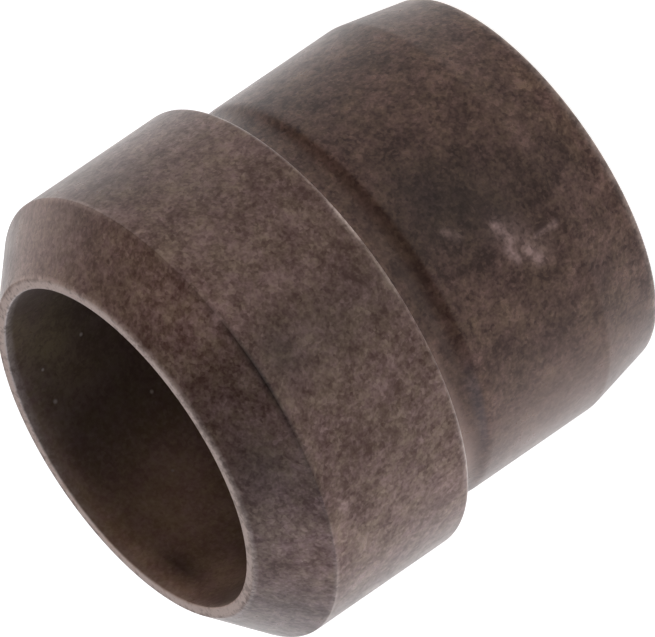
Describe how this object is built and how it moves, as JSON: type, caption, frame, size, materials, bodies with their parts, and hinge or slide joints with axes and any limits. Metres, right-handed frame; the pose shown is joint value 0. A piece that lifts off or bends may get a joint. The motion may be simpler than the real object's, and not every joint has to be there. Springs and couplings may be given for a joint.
{
  "type": "cutting ring",
  "caption": "Turned steel cutting ring for a 24 degree cone tube fitting: tapered nose, plain collar, 45 degree rear cone and a through bore with inner cutting edges.",
  "frame": {"origin": "centre of the nose face, the lowest point of the ring's axis, so that the ring stands on its nose end", "axes": "+Z along the axis, from the nose face to the rear rim, which is the way the tube leaves; X and Y are alike, because the ring is round"},
  "size_m": [0.0112, 0.0112, 0.0113],
  "materials": {
    "phosphated_steel": "phosphated and oiled, matt dark brown grey, with bare lighter edges"
  },
  "bodies": {
    "root": {"cutting_ring": "phosphated_steel"}
  },
  "joints": []
}
